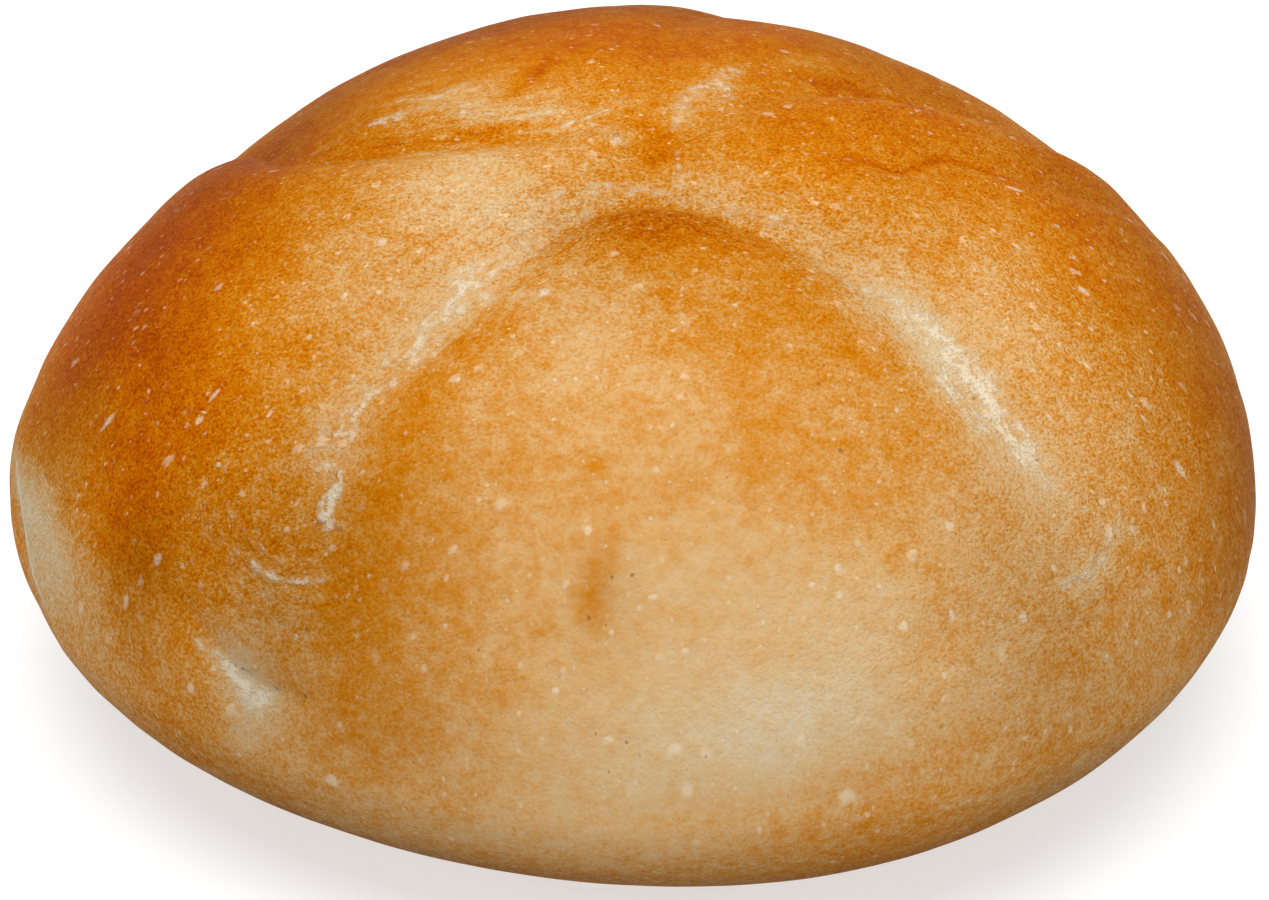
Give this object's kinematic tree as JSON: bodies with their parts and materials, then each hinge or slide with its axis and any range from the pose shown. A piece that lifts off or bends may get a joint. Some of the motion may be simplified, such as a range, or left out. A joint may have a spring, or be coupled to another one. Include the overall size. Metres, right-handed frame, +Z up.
{
  "type": "bread roll",
  "caption": "Domed wheat bread roll with a smooth golden-brown crust, its top folded into overlapping petals round a hub, resting on a small flat base.",
  "frame": {"origin": "middle of the outline seen from above, on the surface that the roll rests on", "axes": "+Z up; -Y towards the large front petal; +X to the right seen from the front"},
  "size_m": [0.106, 0.1057, 0.0491],
  "materials": {
    "crust": "satin golden-brown baked crust, darker on the shoulders and paler in the folds"
  },
  "bodies": {
    "root": {"bread_roll": "crust"}
  },
  "joints": []
}
